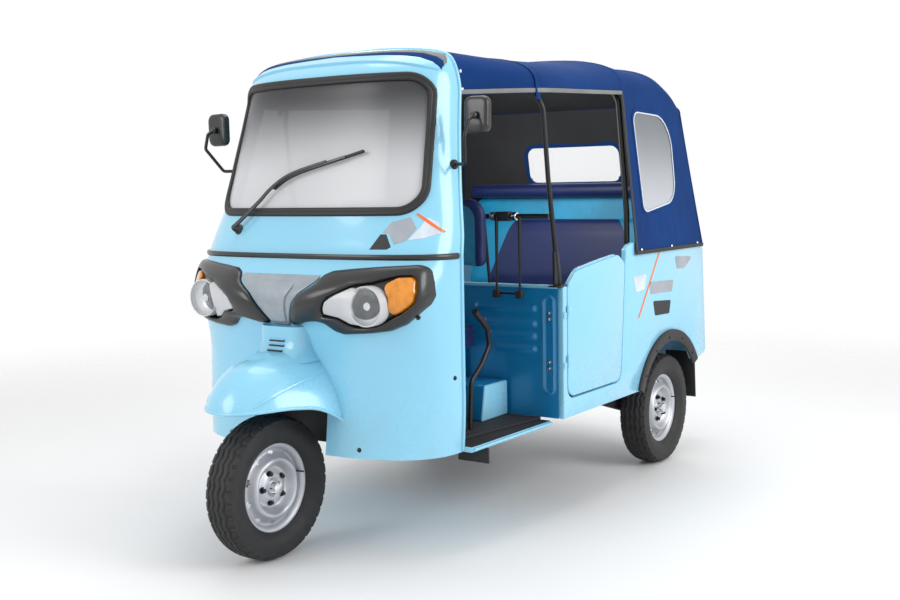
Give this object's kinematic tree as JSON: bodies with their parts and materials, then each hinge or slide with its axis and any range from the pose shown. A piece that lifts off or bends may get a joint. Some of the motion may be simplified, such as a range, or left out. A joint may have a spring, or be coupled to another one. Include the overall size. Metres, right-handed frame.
{
  "type": "auto rickshaw",
  "caption": "Electric three-wheeled auto rickshaw with a rounded cowl, fabric canopy, steered front wheel and an opening passenger half door.",
  "frame": {"origin": "on the ground under the middle of the overall box", "axes": "front towards -Y, the vehicle's left towards +X, up towards +Z"},
  "size_m": [1.344, 2.6819, 1.801],
  "materials": {
    "body_paint": "gloss light blue",
    "inner_paint": "gloss mid blue",
    "glass": "clear",
    "film": "clear film",
    "black_rubber": "satin",
    "black_plastic": "gloss",
    "matt_plastic": "matt",
    "grey_plastic": "silver grey",
    "lamp_lens": "clear",
    "amber_lens": "amber",
    "red_lens": "red",
    "tyre": "satin",
    "wheel_steel": "silver",
    "black_steel": "satin black",
    "casting": "cast",
    "navy_fabric": "coated cloth",
    "seat_cover": "navy cover"
  },
  "bodies": {
    "chassis": {"cab_shell": "body_paint", "windscreen": "glass", "windscreen_seal": "black_rubber", "belt_moulding": "black_rubber", "lamp_bezels": "black_plastic", "indicators": "amber_lens", "headlamps": "lamp_lens", "front_badge": "grey_plastic", "front_mudguard": "body_paint", "wheelhouse": "body_paint", "steering_head": "black_steel", "floor_pan": "body_paint", "floor_mat": "black_rubber", "front_flaps": "black_rubber", "driver_seat_box": "inner_paint", "driver_cushion": "seat_cover", "driver_backrest": "seat_cover", "floor_box": "inner_paint", "dashboard": "matt_plastic", "handbrake_lever": "black_steel", "tub_side_left": "body_paint", "tub_side_right": "body_paint", "front_wall": "inner_paint", "tub_floor": "inner_paint", "bench_box": "inner_paint", "rear_panel": "body_paint", "back_panel": "inner_paint", "arch_flares": "matt_plastic", "rear_mud_flaps": "black_rubber", "passenger_cushion": "seat_cover", "passenger_backrest": "seat_cover", "headrest_band": "seat_cover", "canopy": "navy_fabric", "canopy_windows": "film", "front_posts": "black_steel", "canopy_hoops": "black_steel", "partition_frame": "black_steel", "chassis_frame": "black_steel", "drive_unit": "casting", "battery_case": "matt_plastic", "rear_arms": "black_steel", "rear_dampers": "black_steel", "door_hinges": "black_steel", "rear_bumper": "black_steel", "tail_lamps": "red_lens", "mirrors": "black_plastic", "wiper": "black_steel"},
    "steering": {"steering_column": "black_steel", "handlebar": "black_steel", "front_fork": "black_steel", "front_arm": "black_steel"},
    "front_wheel": {"front_tyre": "tyre", "front_rim": "wheel_steel"},
    "rear_left_wheel": {"rear_left_tyre": "tyre", "rear_left_rim": "wheel_steel"},
    "rear_right_wheel": {"rear_right_tyre": "tyre", "rear_right_rim": "wheel_steel"},
    "left_door": {"passenger_door": "body_paint"}
  },
  "joints": [
    {"name": "steering_turn", "type": "hinge", "parent": "chassis", "child": "steering", "pos_m": [0, -1.09, 0.249], "axis": [0, 0.309, 0.9511], "range_deg": [-30, 30]},
    {"name": "front_wheel_spin", "type": "hinge", "parent": "steering", "child": "front_wheel", "pos_m": [0, -1.09, 0.249], "axis": [1, 0, 0], "continuous": true},
    {"name": "rear_left_wheel_spin", "type": "hinge", "parent": "chassis", "child": "rear_left_wheel", "pos_m": [0.566, 0.86, 0.249], "axis": [1, 0, 0], "continuous": true},
    {"name": "rear_right_wheel_spin", "type": "hinge", "parent": "chassis", "child": "rear_right_wheel", "pos_m": [-0.566, 0.86, 0.249], "axis": [1, 0, 0], "continuous": true},
    {"name": "left_door_swing", "type": "hinge", "parent": "chassis", "child": "left_door", "pos_m": [0.664, -0.142, 0.7], "axis": [0, 0, -1], "range_deg": [0, 75]}
  ]
}
